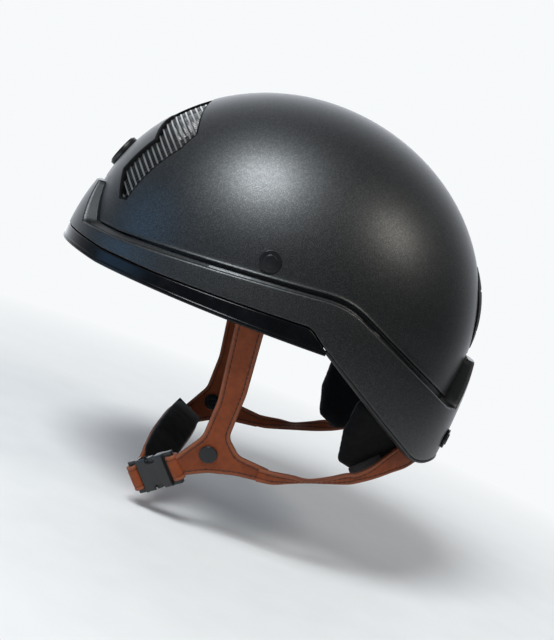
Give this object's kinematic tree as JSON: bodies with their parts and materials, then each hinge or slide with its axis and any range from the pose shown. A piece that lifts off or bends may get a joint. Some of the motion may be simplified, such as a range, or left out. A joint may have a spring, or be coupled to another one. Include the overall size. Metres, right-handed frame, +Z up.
{
  "type": "jockey skull cap",
  "caption": "Riding skull cap with hard shell, stepped ridge, front and rear vents, foam liner, comfort pads, leather yoke harness, side-release buckle and padded chin strap",
  "frame": {"origin": "middle plane, near the middle of the head opening, at the height of the front rim trim's lower edge", "axes": "+Z up, -Y to the front, +X to the wearer's left"},
  "size_m": [0.2344, 0.2823, 0.2679],
  "materials": {
    "shell": "charcoal lacquer with fine fleck, satin clear coat",
    "trim": "black, satin gloss",
    "bead": "black, matt",
    "foam": "dark expanded foam, matt",
    "frame": "black, matt",
    "mesh": "bright perforated sheet",
    "dark_mesh": "black, matt",
    "badge": "black, satin, left bare",
    "ring": "polished",
    "rivet": "black, satin",
    "washer": "plain",
    "leather": "brown, smooth, with a folded and stitched edge",
    "buckle": "black moulded plastic",
    "fleece": "black fleece",
    "lining": "black knitted lining",
    "patch": "black hook tape"
  },
  "bodies": {
    "cap": {"outer_shell": "shell", "front_rim_trim": "trim", "rear_edge_trim": "bead", "impact_liner": "foam", "front_vent_frame": "frame", "front_vent_mesh_left": "mesh", "front_vent_mesh_right": "mesh", "badge_body": "badge", "badge_ring": "ring", "rear_vent_cover": "trim", "rear_vent_mesh": "dark_mesh", "harness_rivets": "rivet", "rivet_washers": "washer", "hook_patches": "patch", "brow_pad": "lining", "back_pad": "lining", "crown_pad": "lining", "side_pad_left": "lining", "side_pad_right": "lining", "nape_strap_left": "leather", "nape_strap_right": "leather", "nape_pad_left": "lining", "nape_pad_right": "lining", "nape_tab_left": "patch", "nape_tab_right": "patch"},
    "harness": {"yoke_left": "leather", "yoke_right": "leather", "junction_caps": "rivet", "junction_backs": "rivet", "buckle_female": "buckle", "strap_slider": "buckle", "chin_strap": "leather", "chin_pad": "fleece"},
    "buckle_plug": {"buckle_male": "buckle"},
    "prong_upper": {"buckle_prong_upper": "buckle"},
    "prong_lower": {"buckle_prong_lower": "buckle"},
    "keeper": {"strap_keeper": "buckle"}
  },
  "joints": [
    {"name": "harness_swing", "type": "hinge", "parent": "cap", "child": "harness", "pos_m": [0, -0.01558, 0.03903], "axis": [1, 0, 0], "range_deg": [-4, 7], "deforming": ["nape_strap_left", "nape_strap_right", "nape_pad_left", "nape_pad_right", "nape_tab_left", "nape_tab_right"]},
    {"name": "buckle_release", "type": "slide", "parent": "harness", "child": "buckle_plug", "axis": [-0.4008, -0.6913, -0.6012], "range_m": [0, 0.024], "deforming": ["chin_strap", "chin_pad"]},
    {"name": "prong_upper_squeeze", "type": "hinge", "parent": "buckle_plug", "child": "prong_upper", "pos_m": [0.06628, -0.04149, -0.10547], "axis": [0.9157, -0.2821, -0.2861], "range_deg": [-13, 0], "stiffness_Nm_per_rad": 0.12},
    {"name": "prong_lower_squeeze", "type": "hinge", "parent": "buckle_plug", "child": "prong_lower", "pos_m": [0.06587, -0.03165, -0.11652], "axis": [0.9157, -0.2821, -0.2861], "range_deg": [0, 13], "stiffness_Nm_per_rad": 0.12},
    {"name": "keeper_slide", "type": "slide", "parent": "harness", "child": "keeper", "axis": [0.9628, -0.0421, 0.2669], "range_m": [0, 0.004]}
  ]
}
